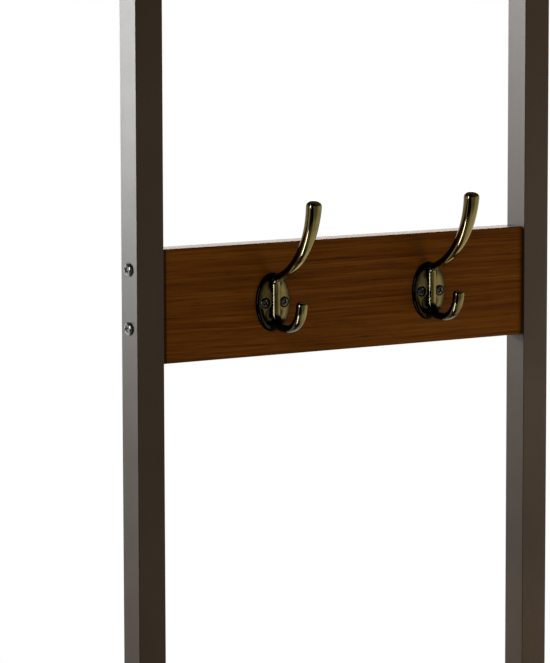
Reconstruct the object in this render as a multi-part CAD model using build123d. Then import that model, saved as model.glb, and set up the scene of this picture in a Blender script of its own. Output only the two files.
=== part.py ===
from build123d import *
from math import sqrt
import os

# Slim hall tree in millimetres: two welded side frames of square steel tube, tied by wooden rails, with a
# bench seat, a shoe shelf of rods and two cast double hooks on the hook rail.
# +X is to the right of someone who faces it, +Y goes to the wall and +Z is up.
# The origin is on the floor, at the middle of the footprint.

# Overall sizes
height = 1820.0  # floor to the top of the post caps
depth = 340.0  # front of the legs to the back of the posts
span = 360.0  # clear width between the side frames

# Square steel tube
tube = 25.0  # outer side
tube_wall = 1.2
tube_corner = 0.6  # outer corner radius

# Wooden boards, which lie flush with the back of the posts
board = 21.0  # thickness of the rails and the seat
board_ease = 0.8  # rounding of the long edges
rail_height = 93.0
hook_rail_bottom = 1400.0  # height of the hook rail's lower edge
top_rail_drop = 12.0  # top of the post tubes to the top of the top rail

# Bench
seat_height = 450.0  # floor to the top of the seat
seat_corner = 3.0  # rounding of the seat's two front corners
notch_clearance = 0.5  # between the seat's notches and the posts
shelf_height = 150.0  # floor to the middle of the shoe shelf
rod_diameter = 8.0
rod_count = 6
rod_clearance = 0.2  # hole over rod, on the diameter
rod_end_gap = 0.2  # rod end to the bearer's outer wall

# Plastic feet, caps and plugs
foot_height = 6.0
foot_plug = 20.0  # how far a foot goes into its tube
cap_height = 3.0
cap_plug = 15.0
plastic_round = 0.5  # rounding of the feet's and caps' outer edges
plug_clearance = 0.1  # each side, inside the tube
rail_plug = 22.0  # threaded plug in each end of a seat cross rail

# Machine screws with a domed cross-recess head, and the inserts that they screw into
bolt_diameter = 6.0
bolt_head_diameter = 10.8
bolt_head_height = 3.2
bolt_head_rim = 0.8  # straight rim under the dome
bolt_grip = 16.0  # reach past the tube into the rail
bolt_clearance = 0.5  # hole over bolt, on the diameter
thread_clearance = 0.1  # insert bore over bolt, on the diameter
rail_bolt_low = 30.0  # rail's lower edge to the lower bolt
rail_bolt_pitch = 47.5
insert_diameter = 9.0
insert_length = 13.0
insert_tip_room = 4.0  # drilled space past the bolt's tip

# Seat screws, driven up through the seat bearers
seat_screw_diameter = 4.0
seat_screw_head = 7.5
seat_screw_head_height = 2.4
seat_screw_grip = 14.0  # reach into the seat
seat_screw_inset = 55.0  # bearer's end to the screw
seat_screw_access = 10.0  # driver hole in the bearer's underside
screw_clearance = 0.1  # hole over screw, on the diameter

# Hooks: an oval plate, with one tapering arm that is a rib on the plate and a prong above and below it
hook_inset = 106.0  # left post to the middle of the left hook
hook_pitch = 156.0
hook_lift = 44.0  # rail's lower edge to the middle of the plates
plate_width = 32.6
plate_height = 48.6
plate_thickness = 3.6
plate_round = 3.0  # radius of the edge in front
rib_out = 5.5  # rail's face to the middle of the rib
rib_up = 15.5  # straight part above the plate's middle
rib_down = 7.8  # straight part below it
upper_bend = 6.0  # radius where the rib leans out into the upper prong
upper_lean = 74.5  # degrees from upright
upper_sweep = 72.3  # radius of the upper prong
upper_end_lean = 6.3  # degrees from upright at the tip
upper_tip = 4.8  # straight end with the rounding
lower_bend = 12.0  # radius where the rib turns out into the lower prong
lower_flat = 5.4  # level part
lower_sweep = 21.5  # radius of the lower prong
lower_end_lean = 1.5
lower_tip = 3.2
rib_width = 8.0
rib_thickness = 6.4
upper_tip_diameter = 12.4
upper_tip_round = 4.4
lower_tip_diameter = 9.6
lower_tip_round = 3.0

# Hook screws, countersunk with a raised head
hook_screw_pitch = 18.4
hook_screw_diameter = 3.5
hook_screw_head = 7.8
hook_screw_crown = 1.1  # raised part of the head
hook_screw_cone = 2.2  # countersunk part
hook_screw_grip = 14.0  # reach into the rail

# Cross recess, as a share of the head that it is cut into
recess_reach = 0.58  # of the head's diameter
recess_width = 0.17
recess_depth = 0.75  # of the head's height

# Places that follow from the sizes above
half_span = span / 2
frame_x = half_span + tube / 2  # middle of each side frame
side_x = half_span + tube  # outer face of each side frame
back_y = depth / 2
post_y = back_y - tube / 2
leg_y = -post_y
tube_bore = tube - 2 * tube_wall
tube_inner_corner = max(tube_corner - tube_wall, 0.2)
plug_side = tube_bore - 2 * plug_clearance
tube_top = height - cap_height
leg_top = seat_height - board
bearer_length = depth - 2 * tube
seat_frame_z = leg_top - tube / 2  # middle of the tubes under the seat
rail_front_y = back_y - board
rail_middle_y = back_y - board / 2
top_rail_bottom = tube_top - top_rail_drop - rail_height
hook_z = hook_rail_bottom + hook_lift
hook_left_x = -half_span + hook_inset
hook_right_x = hook_left_x + hook_pitch
bolt_hole = bolt_diameter + bolt_clearance
rail_bolt_heights = (rail_bolt_low, rail_bolt_low + rail_bolt_pitch)
seat_screw_ys = (-bearer_length / 2 + seat_screw_inset, bearer_length / 2 - seat_screw_inset)
rod_pitch = bearer_length / rod_count
rod_ys = [-bearer_length / 2 + (number + 0.5) * rod_pitch for number in range(rod_count)]

# Turns that point a piece made along +Z another way
along_x = Rot(0, 90, 0)
along_y = Rot(-90, 0, 0)
along_z = Rot(0, 0, 0)
facing_left = Rot(0, -90, 0)
facing_front = Rot(90, 0, 0)


def tube_piece(length, middle, turn=along_z):
    """A hollow square tube, made about its middle."""
    outside = RectangleRounded(tube, tube, tube_corner)
    inside = RectangleRounded(tube_bore, tube_bore, tube_inner_corner)
    return Pos(*middle) * turn * extrude(outside - inside, amount=length / 2, both=True)


def drill(diameter, length, middle, turn=along_x):
    """The cylinder that a drill takes away, made about its middle."""
    return Pos(*middle) * turn * Cylinder(diameter / 2, length)


def cross_recess(head_diameter, head_height):
    """The cross-shaped slot of a screw head whose top is at z = 0."""
    reach = recess_reach * head_diameter
    width = recess_width * head_diameter
    cut = 2 * recess_depth * head_height
    return Box(reach, width, cut) + Box(width, reach, cut)


def dome(radius, crown, base):
    """A low spherical cap that stands on z = base, as a revolved outline."""
    sphere = (radius**2 + crown**2) / (2 * crown)
    middle = (radius / 2, base + crown - sphere + sqrt(sphere**2 - (radius / 2) ** 2))
    outline = Line((0, base), (radius, base))
    outline += ThreePointArc((radius, base), middle, (0, base + crown))
    outline += Line((0, base + crown), (0, base))
    return revolve(Plane.XZ * make_face(outline), Axis.Z)


def machine_screw(reach):
    """A domed machine screw along Z. Its head sits on z = 0 and its shank reaches down from there."""
    rim = Pos(0, 0, bolt_head_rim / 2) * Cylinder(bolt_head_diameter / 2, bolt_head_rim)
    crown = dome(bolt_head_diameter / 2, bolt_head_height - bolt_head_rim, bolt_head_rim)
    shank = Pos(0, 0, -reach / 2) * Cylinder(bolt_diameter / 2, reach)
    slot = Pos(0, 0, bolt_head_height) * cross_recess(bolt_head_diameter, bolt_head_height)
    return rim + crown + shank - slot


def screw_pair(y, z):
    """Two machine screws, one through each side frame, at one height."""
    screw = machine_screw(tube + bolt_grip)
    return [Pos(-side_x, y, z) * facing_left * screw, Pos(side_x, y, z) * along_x * screw]


def side_frame_holes(y, z):
    """The holes through both side frames for a pair of machine screws."""
    return drill(bolt_hole, 2 * (side_x + tube), (0, y, z))


def plug_with_flange(flange_height, plug_length):
    """A square plastic plug with a flange as wide as the tube, below the tube's end at z = 0."""
    flange = extrude(RectangleRounded(tube, tube, tube_corner), amount=-flange_height)
    flange = fillet(flange.faces().sort_by(Axis.Z)[0].edges(), plastic_round)
    plug = extrude(Rectangle(plug_side, plug_side), amount=plug_length)
    return flange + plug


def rail_screw_places(bottom):
    """Where a wooden rail's screws lie, as y and z."""
    return [(post_y, bottom + rise) for rise in rail_bolt_heights]


def wooden_rail(bottom):
    """A board between the posts, drilled at each end for its inserts and the screws' tips."""
    middle = (0, rail_middle_y, bottom + rail_height / 2)
    rail = Pos(*middle) * Box(span, board, rail_height)
    rail = fillet(rail.edges().filter_by(Axis.X), board_ease)
    tip_hole = 2 * (bolt_grip + insert_tip_room)
    for y, z in rail_screw_places(bottom):
        for end in (-half_span, half_span):
            rail -= drill(insert_diameter, 2 * insert_length, (end, y, z))
            rail -= drill(bolt_hole, tip_hole, (end, y, z))
    return rail


def rail_inserts(bottom):
    """The threaded inserts in both ends of a wooden rail."""
    inserts = []
    for y, z in rail_screw_places(bottom):
        for side in (-1, 1):
            middle = (side * (half_span - insert_length / 2), y, z)
            body = drill(insert_diameter, insert_length, middle)
            inserts.append(body - drill(bolt_diameter + thread_clearance, insert_length, middle))
    return inserts


def post(side):
    """A tall rear tube with the holes for everything that is screwed to it from outside."""
    length = tube_top - foot_height
    piece = tube_piece(length, (side * frame_x, post_y, foot_height + length / 2))
    for y, z in rail_screw_places(hook_rail_bottom) + rail_screw_places(top_rail_bottom):
        piece -= side_frame_holes(y, z)
    return piece - side_frame_holes(post_y, seat_frame_z)


def leg(side):
    """A front leg, up to the underside of the seat."""
    length = leg_top - foot_height
    piece = tube_piece(length, (side * frame_x, leg_y, foot_height + length / 2))
    return piece - side_frame_holes(leg_y, seat_frame_z)


def seat_bearer(side):
    """The tube under each side of the seat, with screw holes in its top and driver holes in its underside."""
    bearer = tube_piece(bearer_length, (side * frame_x, 0, seat_frame_z), along_y)
    for y in seat_screw_ys:
        upper = (side * frame_x, y, leg_top)
        lower = (side * frame_x, y, leg_top - tube)
        bearer -= drill(seat_screw_diameter + screw_clearance, tube, upper, along_z)
        bearer -= drill(seat_screw_access, tube, lower, along_z)
    return bearer


def shelf_bearer(side):
    """The lower tube on each side, drilled on its inner wall for the shelf rods."""
    bearer = tube_piece(bearer_length, (side * frame_x, 0, shelf_height), along_y)
    for y in rod_ys:
        bearer -= drill(rod_diameter + rod_clearance, tube, (side * half_span, y, shelf_height))
    return bearer


def shelf_rod(y):
    """A rod that lies in the holes of both shelf bearers and stops at their outer walls."""
    return drill(rod_diameter, 2 * (side_x - tube_wall - rod_end_gap), (0, y, shelf_height))


def seat_cross_rail(y):
    """A tube across the bench, under the seat."""
    return tube_piece(span, (0, y, seat_frame_z), along_x)


def cross_rail_plugs(y):
    """The threaded plugs in both ends of a seat cross rail."""
    plugs = []
    for side in (-1, 1):
        middle = (side * (half_span - rail_plug / 2), y, seat_frame_z)
        body = Pos(*middle) * Box(rail_plug, plug_side, plug_side)
        plugs.append(body - drill(bolt_diameter + thread_clearance, rail_plug, middle))
    return plugs


def seat():
    """The seat board, notched round the posts."""
    blank = Pos(0, 0, seat_height - board / 2) * Box(2 * side_x, depth, board)
    blank = fillet(blank.edges().filter_by(Axis.Z).group_by(Axis.Y)[0], seat_corner)
    notch = tube + notch_clearance
    for side in (-1, 1):
        corner = (side * (side_x - notch / 2), back_y - notch / 2, seat_height - board / 2)
        blank -= Pos(*corner) * Box(notch, notch, board)
    blank = fillet(blank.faces().sort_by(Axis.Z)[-1].edges(), board_ease)
    pilot = seat_screw_diameter + screw_clearance
    for side in (-1, 1):
        for y in seat_screw_ys:
            blank -= drill(pilot, 2 * seat_screw_grip, (side * frame_x, y, leg_top), along_z)
    return blank


def seat_screws():
    """The screws that hold the seat, with their heads against the inside of the bearers' top walls."""
    head = Pos(0, 0, -seat_screw_head_height / 2) * Cylinder(seat_screw_head / 2, seat_screw_head_height)
    reach = tube_wall + seat_screw_grip
    shank = Pos(0, 0, reach / 2) * Cylinder(seat_screw_diameter / 2, reach)
    slot = Pos(0, 0, -seat_screw_head_height) * cross_recess(seat_screw_head, seat_screw_head_height)
    screw = head + shank - slot
    seat_level = leg_top - tube_wall
    return [Pos(side * frame_x, y, seat_level) * screw for side in (-1, 1) for y in seat_screw_ys]


def oval(width, thickness):
    """An oval of four arcs, which is a circle where both sizes are the same."""
    corners = [(width / 2, 0), (0, thickness / 2), (-width / 2, 0), (0, -thickness / 2)]
    outline = []
    for start, end in zip(corners, corners[1:] + corners[:1]):
        middle = ((start[0] + end[0]) * sqrt(0.5), (start[1] + end[1]) * sqrt(0.5))
        outline.append(ThreePointArc(start, middle, end))
    return make_face(outline)


def across_arm(curve, share):
    """The plane across the arm's middle line, some share of the way along one of its curves."""
    return Plane(curve @ share, x_dir=(0, 0, 1), z_dir=curve % share)


def prong(curve, tip_diameter, tip_length, tip_round, section_count):
    """A prong that swells along its curve from the rib's section to a round tip with a rounded end."""
    sections = []
    for number in range(section_count + 1):
        share = number / section_count
        width = rib_width + (tip_diameter - rib_width) * share**1.5
        thickness = rib_thickness + (tip_diameter - rib_thickness) * share**1.25
        sections.append(across_arm(curve, share) * oval(width, thickness))
    button = Pos(0, 0, tip_length / 2) * Cylinder(tip_diameter / 2, tip_length)
    button = fillet(button.edges().sort_by(Axis.Z)[-1], tip_round)
    return loft(sections) + across_arm(curve, 1) * button


def hook_arm():
    """The rib with its two bends, and a prong on each end. The arm is drawn with x out and y up."""
    level = -rib_down - lower_bend
    flat = Line((rib_out + lower_bend + lower_flat, level), (rib_out + lower_bend, level))
    low_turn = JernArc(flat @ 1, flat % 1, lower_bend, -90)
    rib = Line(low_turn @ 1, (rib_out, rib_up))
    high_turn = JernArc(rib @ 1, rib % 1, upper_bend, -upper_lean)
    upper = JernArc(high_turn @ 1, high_turn % 1, upper_sweep, upper_lean - upper_end_lean)
    lower = JernArc(flat @ 0, (1, 0), lower_sweep, 90 - lower_end_lean)
    bar = sweep(across_arm(flat, 0) * oval(rib_width, rib_thickness), path=flat + low_turn + rib + high_turn)
    bar += prong(upper, upper_tip_diameter, upper_tip, upper_tip_round, 6)
    bar += prong(lower, lower_tip_diameter, lower_tip, lower_tip_round, 5)
    return Plane((0, 0, 0), x_dir=(0, -1, 0), z_dir=(-1, 0, 0)) * bar


def hook_plate():
    """The oval back plate, against y = 0, with a rounded edge in front."""
    slab = extrude(Plane.XZ * Ellipse(plate_width / 2, plate_height / 2), amount=plate_thickness)
    return fillet(slab.faces().sort_by(Axis.Y)[0].edges(), min(plate_round, 0.9 * plate_thickness))


def countersunk_body(grow):
    """The countersunk part of a hook screw's head, down to its shank, from z = 0 downwards."""
    small = (hook_screw_diameter + grow) / 2
    large = (hook_screw_head + grow) / 2
    return Pos(0, 0, -hook_screw_cone / 2) * Cone(small, large, hook_screw_cone)


def hook_screw():
    """A raised countersunk screw along Z. The plate's face is at z = 0."""
    reach = plate_thickness + hook_screw_grip
    shank = Pos(0, 0, -reach / 2) * Cylinder(hook_screw_diameter / 2, reach)
    crown = dome(hook_screw_head / 2, hook_screw_crown, 0)
    slot_height = hook_screw_crown + hook_screw_cone / 2
    slot = Pos(0, 0, hook_screw_crown) * cross_recess(hook_screw_head, slot_height)
    return crown + countersunk_body(0) + shank - slot


def hook_screw_spots(hook_x):
    """Where a hook's screws meet the plate's face."""
    face_y = rail_front_y - plate_thickness
    return [(hook_x + side * hook_screw_pitch / 2, face_y, hook_z) for side in (-1, 1)]


def hook(hook_x):
    """One cast hook on the hook rail."""
    casting = Pos(hook_x, rail_front_y, hook_z) * (hook_plate() + hook_arm())
    hole_reach = 2 * plate_thickness
    for spot in hook_screw_spots(hook_x):
        sink = Pos(*spot) * facing_front * countersunk_body(screw_clearance)
        casting -= sink + drill(hook_screw_diameter + screw_clearance, hole_reach, spot, facing_front)
    return casting


def hook_rail():
    """The wooden rail that carries the hooks, with pilot holes for their screws."""
    rail = wooden_rail(hook_rail_bottom)
    pilot = hook_screw_diameter + screw_clearance
    for hook_x in (hook_left_x, hook_right_x):
        for x, _, z in hook_screw_spots(hook_x):
            rail -= drill(pilot, 2 * hook_screw_grip, (x, rail_front_y, z), facing_front)
    return rail


def hook_screws(hook_x):
    """The two screws of one hook."""
    return [Pos(*spot) * facing_front * hook_screw() for spot in hook_screw_spots(hook_x)]


def rail_screws(bottom):
    """The four machine screws of a wooden rail."""
    return [screw for y, z in rail_screw_places(bottom) for screw in screw_pair(y, z)]


sides = {"left": -1, "right": 1}
pieces = {}
for name, side in sides.items():
    pieces[f"{name}_post"] = post(side)
    pieces[f"{name}_front_leg"] = leg(side)
    pieces[f"{name}_seat_bearer"] = seat_bearer(side)
    pieces[f"{name}_shelf_bearer"] = shelf_bearer(side)
    cap = plug_with_flange(cap_height, cap_plug)
    foot = plug_with_flange(foot_height, foot_plug)
    pieces[f"{name}_post_cap"] = Pos(side * frame_x, post_y, tube_top) * Rot(180, 0, 0) * cap
    pieces[f"{name}_rear_foot"] = Pos(side * frame_x, post_y, foot_height) * foot
    pieces[f"{name}_front_foot"] = Pos(side * frame_x, leg_y, foot_height) * foot

hooks = {"left": hook_left_x, "right": hook_right_x}
for name, hook_x in hooks.items():
    pieces[f"{name}_hook"] = hook(hook_x)
    pieces[f"{name}_hook_screws"] = hook_screws(hook_x)

pieces["hook_rail"] = hook_rail()
pieces["hook_rail_bolts"] = rail_screws(hook_rail_bottom)
pieces["hook_rail_inserts"] = rail_inserts(hook_rail_bottom)
pieces["top_rail"] = wooden_rail(top_rail_bottom)
pieces["top_rail_bolts"] = rail_screws(top_rail_bottom)
pieces["top_rail_inserts"] = rail_inserts(top_rail_bottom)

pieces["seat_board"] = seat()
pieces["seat_screws"] = seat_screws()
for name, y in {"front": leg_y, "rear": post_y}.items():
    pieces[f"{name}_seat_rail"] = seat_cross_rail(y)
    pieces[f"{name}_seat_rail_bolts"] = screw_pair(y, seat_frame_z)
    pieces[f"{name}_seat_rail_plugs"] = cross_rail_plugs(y)
for number, y in enumerate(rod_ys, start=1):
    pieces[f"shelf_rod_{number}"] = shelf_rod(y)

os.makedirs("parts", exist_ok=True)
for name, piece in pieces.items():
    shape = Compound(children=piece) if isinstance(piece, list) else piece
    export_step(shape, f"parts/{name}.step")
print(len(pieces), "nodes written")
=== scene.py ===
import bpy
import math
import numpy as np
from mathutils import Matrix


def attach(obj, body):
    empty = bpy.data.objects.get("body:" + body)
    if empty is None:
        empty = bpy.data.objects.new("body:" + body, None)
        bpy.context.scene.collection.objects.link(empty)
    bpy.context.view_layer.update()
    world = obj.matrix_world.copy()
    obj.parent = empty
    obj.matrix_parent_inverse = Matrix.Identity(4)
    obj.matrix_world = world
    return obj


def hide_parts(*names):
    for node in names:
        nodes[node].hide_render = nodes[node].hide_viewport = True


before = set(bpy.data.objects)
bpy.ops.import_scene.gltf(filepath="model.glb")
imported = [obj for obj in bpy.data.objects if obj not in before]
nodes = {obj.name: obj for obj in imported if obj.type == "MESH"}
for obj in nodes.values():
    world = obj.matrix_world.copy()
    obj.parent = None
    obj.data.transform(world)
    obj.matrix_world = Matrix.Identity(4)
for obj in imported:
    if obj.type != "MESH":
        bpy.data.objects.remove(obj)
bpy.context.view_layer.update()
mm = 0.001
print("frame loaded with", len(nodes), "nodes")


# closed surfaces on grids

# A grid of points (rows, columns, xyz) becomes quads between neighbours, with each row closed on itself.
# A ring joins the last row to the first. Otherwise a fan of triangles to a pole point closes each end.
def closedGrid(points, startPole=None, endPole=None):
    rows, cols = points.shape[:2]
    ring = startPole is None
    r = np.arange(rows if ring else rows - 1)[:, None]
    c = np.arange(cols)[None, :]
    r2 = (r + 1) % rows
    c2 = (c + 1) % cols
    quads = np.stack([r * cols + c, r * cols + c2, r2 * cols + c2, r2 * cols + c], axis=-1).reshape(-1, 4)
    verts = points.reshape(-1, 3)
    tris = np.zeros((0, 3), int)
    if not ring:
        around = np.arange(cols)
        after = (around + 1) % cols
        last = (rows - 1) * cols
        base = rows * cols
        startFan = np.stack([after, around, np.full(cols, base)], axis=-1)
        endFan = np.stack([last + around, last + after, np.full(cols, base + 1)], axis=-1)
        tris = np.concatenate([startFan, endFan])
        verts = np.concatenate([verts, [startPole, endPole]])
    return turnedOutwards(verts, quads, tris)


# The signed volume, a sum of triple products over the triangles, tells whether the faces point outwards.
def turnedOutwards(verts, quads, tris):
    allTris = np.concatenate([quads[:, [0, 1, 2]], quads[:, [0, 2, 3]], tris])
    a, b, c = (verts[allTris[:, k]] for k in range(3))
    if np.einsum("ij,ij->", a, np.cross(b, c)) < 0:
        quads = quads[:, ::-1]
        tris = tris[:, ::-1]
    return verts, quads, tris


# Several closed surfaces, in millimetres, become one mesh object in metres at the origin.
def meshObject(name, surfaces, material, sharpAngle=40.0):
    offset = 0
    allVerts = []
    allFaces = []
    for verts, quads, tris in surfaces:
        allVerts.append(verts)
        allFaces += (quads + offset).tolist() + (tris + offset).tolist()
        offset += len(verts)
    mesh = bpy.data.meshes.new(name)
    mesh.from_pydata(np.concatenate(allVerts) * mm, [], allFaces)
    mesh.shade_smooth()
    mesh.set_sharp_from_angle(angle=math.radians(sharpAngle))
    mesh.materials.append(material)
    piece = bpy.data.objects.new(name, mesh)
    bpy.context.collection.objects.link(piece)
    weighted = piece.modifiers.new("flat faces stay flat", "WEIGHTED_NORMAL")
    weighted.keep_sharp = True
    return piece


def finished(piece, slotName, *standsFor):
    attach(piece, "root")
    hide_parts(*standsFor)


# Points given as (along, across, across) are put on the axes x, y and z.
def onAxes(along, first, second, axis):
    order = {"x": (along, first, second), "y": (first, along, second), "z": (first, second, along)}
    return np.stack(np.broadcast_arrays(*order[axis]), axis=-1)


# A rectangle with quarter circles for corners, as two arrays that run once round it.
def roundedRectangle(halfA, halfB, radius, steps):
    angle = np.linspace(0, np.pi / 2, steps + 1)[None, :] + np.arange(4)[:, None] * np.pi / 2
    signA = np.array([1, -1, -1, 1])[:, None]
    signB = np.array([1, 1, -1, -1])[:, None]
    a = signA * (halfA - radius) + radius * np.cos(angle)
    b = signB * (halfB - radius) + radius * np.sin(angle)
    return a.ravel(), b.ravel()


# procedural materials

class NodeBench:
    # a few short words for building a node tree
    def __init__(self, tree):
        self.tree = tree
        tree.nodes.clear()

    def add(self, kind, **values):
        node = self.tree.nodes.new(kind)
        for key, value in values.items():
            setattr(node, key, value)
        return node

    def join(self, output, socket):
        self.tree.links.new(output, socket)

    # a colour or a number is set on the socket, and an output is joined to it
    def feed(self, socket, value):
        if isinstance(value, tuple):
            socket.default_value = (*value, 1)
        elif isinstance(value, (int, float)):
            socket.default_value = value
        else:
            self.join(value, socket)

    def math(self, operation, a, b):
        node = self.add("ShaderNodeMath", operation=operation)
        self.feed(node.inputs[0], a)
        self.feed(node.inputs[1], b)
        return node.outputs[0]

    def vector(self, operation, a, b=None):
        node = self.add("ShaderNodeVectorMath", operation=operation)
        self.join(a, node.inputs[0])
        if isinstance(b, tuple):
            node.inputs[1].default_value = b
        elif b is not None:
            self.join(b, node.inputs[1])
        return node.outputs["Value" if operation in ("DOT_PRODUCT", "LENGTH") else "Vector"]

    def part(self, vector, axis):
        node = self.add("ShaderNodeSeparateXYZ")
        self.join(vector, node.inputs[0])
        return node.outputs[axis]

    def ramp(self, factor, stops):
        node = self.add("ShaderNodeValToRGB")
        elements = node.color_ramp.elements
        stops = list(stops)
        while len(elements) < len(stops):
            elements.new(0.5)
        for element, (position, colour) in zip(elements, stops):
            element.position = position
            element.color = (*colour, 1)
        self.join(factor, node.inputs["Fac"])
        return node.outputs["Color"]

    def span(self, value, low, high, toLow, toHigh, smooth=False):
        node = self.add("ShaderNodeMapRange")
        if smooth:
            node.interpolation_type = "SMOOTHSTEP"
        for key, number in zip(("From Min", "From Max", "To Min", "To Max"), (low, high, toLow, toHigh)):
            node.inputs[key].default_value = number
        self.join(value, node.inputs["Value"])
        return node.outputs["Result"]

    def mixColour(self, factor, a, b, blend="MIX"):
        node = self.add("ShaderNodeMix", data_type="RGBA", blend_type=blend)
        for socket, value in ((node.inputs[0], factor), (node.inputs[6], a), (node.inputs[7], b)):
            self.feed(socket, value)
        return node.outputs[2]

    def mixNumber(self, factor, a, b):
        node = self.add("ShaderNodeMix", data_type="FLOAT")
        for socket, value in ((node.inputs[0], factor), (node.inputs[2], a), (node.inputs[3], b)):
            self.feed(socket, value)
        return node.outputs[0]

    def noise(self, vector, scale, detail, roughness=0.5):
        node = self.add("ShaderNodeTexNoise")
        for key, number in {"Scale": scale, "Detail": detail, "Roughness": roughness}.items():
            node.inputs[key].default_value = number
        self.join(vector, node.inputs["Vector"])
        return node.outputs["Fac"]

    # noise that is drawn out by its own scale along each axis
    def stretchedNoise(self, vector, scale, detail, roughness=0.5):
        node = self.add("ShaderNodeMapping")
        node.inputs["Scale"].default_value = scale
        self.join(vector, node.inputs["Vector"])
        return self.noise(node.outputs["Vector"], 1.0, detail, roughness)

    def bump(self, height, strength, distance):
        node = self.add("ShaderNodeBump")
        node.inputs["Strength"].default_value = strength
        node.inputs["Distance"].default_value = distance
        self.join(height, node.inputs["Height"])
        return node.outputs["Normal"]


# A material with a principled shader, its bench, and the object coordinates in metres.
def newFinish(name, sockets):
    material = bpy.data.materials.new(name)
    material.use_nodes = True
    bench = NodeBench(material.node_tree)
    output = bench.add("ShaderNodeOutputMaterial")
    shader = bench.add("ShaderNodeBsdfPrincipled")
    bench.join(shader.outputs[0], output.inputs["Surface"])
    for key, value in sockets.items():
        bench.feed(shader.inputs[key], value)
    place = bench.add("ShaderNodeTexCoord").outputs["Object"]
    return material, bench, shader, place


middleOfNoise = (0.3, 0.7)  # where nearly all of a noise's values lie


# Dark brown powder coat: a fine orange peel, with slow changes of tone and gloss.
coatLook = {
    "sockets": {"IOR": 1.45, "Specular IOR Level": 0.38},
    "tones": ((0.0300, 0.0178, 0.0083), (0.0395, 0.0238, 0.0113)),
    "tonePerMetre": 9.0,
    "rough": (0.33, 0.37),
    "roughPerMetre": 40.0,
    "peel": (0.35, 0.00006),  # strength, and depth in metres
    "peelPerMetre": 620.0,
}


def powderCoat():
    look = coatLook
    material, bench, shader, place = newFinish("brownPowderCoat", look["sockets"])
    tone = bench.ramp(bench.noise(place, look["tonePerMetre"], 3.0), zip(middleOfNoise, look["tones"]))
    rough = bench.span(bench.noise(place, look["roughPerMetre"], 3.0), *middleOfNoise, *look["rough"])
    peel = bench.bump(bench.noise(place, look["peelPerMetre"], 2.0), *look["peel"])
    bench.join(tone, shader.inputs["Base Color"])
    bench.join(rough, shader.inputs["Roughness"])
    bench.join(peel, shader.inputs["Normal"])
    return material


# Walnut laminate: broad bands, streaks and fibres are noise drawn out along x, made wavy by a slower noise,
# with short dark pores. The rails carry a painted shadow of the post at their left end, where board and post
# meet.
walnutLook = {
    "sockets": {"Roughness": 0.34, "Specular IOR Level": 0.06},
    "tones": [(0.34, (0.034, 0.0078, 0.0)), (0.5, (0.070, 0.0192, 0.0005)), (0.67, (0.104, 0.0340, 0.0028))],
    "wave": {"scale": (4.0, 9.0, 9.0), "height": 0.0044},
    "bands": {"scale": (2.2, 54.0, 76.0), "detail": 3.0, "roughness": 0.5, "share": 0.24},
    "streaks": {"scale": (6.5, 260.0, 400.0), "detail": 3.0, "roughness": 0.55, "share": 0.40},
    "fibres": {"scale": (13.0, 460.0, 690.0), "detail": 2.0, "roughness": 0.6, "share": 0.36},
    "pores": {"scale": (45.0, 1300.0, 1700.0), "range": (0.30, 0.42), "dark": 0.55, "depth": 0.6},
    "relief": (0.12, 0.00012),  # strength, and depth in metres
    # painted shadow of the left post across the rails' left end: the x range in metres, and how dark it gets
    "paintedEndShadow": {"range": (-0.1757, -0.1750), "dark": 0.28},
}


def walnutLaminate(name, withEndShadow):
    look = walnutLook
    material, bench, shader, place = newFinish(name, look["sockets"])
    slow = bench.stretchedNoise(place, look["wave"]["scale"], 2.0)
    wave = bench.math("MULTIPLY", bench.math("SUBTRACT", slow, 0.5), look["wave"]["height"])
    lift = bench.add("ShaderNodeCombineXYZ")
    bench.join(wave, lift.inputs["Y"])
    bench.join(wave, lift.inputs["Z"])
    wavy = bench.vector("ADD", place, lift.outputs[0])
    grain = 0.0
    for kind in ("bands", "streaks", "fibres"):
        plan = look[kind]
        lines = bench.stretchedNoise(wavy, plan["scale"], plan["detail"], plan["roughness"])
        grain = bench.math("ADD", grain, bench.math("MULTIPLY", lines, plan["share"]))
    pores = bench.stretchedNoise(wavy, look["pores"]["scale"], 2.0)
    poreMask = bench.span(pores, *look["pores"]["range"], look["pores"]["dark"], 1.0)
    colour = bench.mixColour(1.0, bench.ramp(grain, look["tones"]), poreMask, "MULTIPLY")
    # painted shadow: the board darkens at its left end, where the post's shade falls
    if withEndShadow:
        line = bench.span(bench.part(place, "X"), *look["paintedEndShadow"]["range"], look["paintedEndShadow"]["dark"], 1.0)
        colour = bench.mixColour(1.0, colour, line, "MULTIPLY")
    bench.join(colour, shader.inputs["Base Color"])
    fibres = lines  # the finest of the three is also felt
    height = bench.math("ADD", fibres, bench.math("MULTIPLY", poreMask, look["pores"]["depth"]))
    bench.join(bench.bump(height, *look["relief"]), shader.inputs["Normal"])
    return material


# Antique brass: polished metal with a browner film in soft patches, blackened by painted shade and painted
# reflection where the shade value that the hook's mesh carries is high.
brassLook = {
    "sockets": {"Metallic": 1.0},
    "tones": [(0.32, (0.27, 0.200, 0.058)), (0.62, (0.42, 0.325, 0.110))],  # film and bright metal
    "patchPerMetre": 55.0,
    "black": (0.006, 0.005, 0.004),
    "shadeToBlack": (0.05, 0.85),  # from the painted shade where it starts to where it is full
    "uneven": (-0.12, 0.12),  # share of the painted shade
    "unevenPerMetre": 300.0,
    "rough": (0.06, 0.11),
    "scuffPerMetre": 900.0,
    "dents": (0.05, 0.0001),  # strength, and depth in metres
    "dentPerMetre": 260.0,
}


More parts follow.
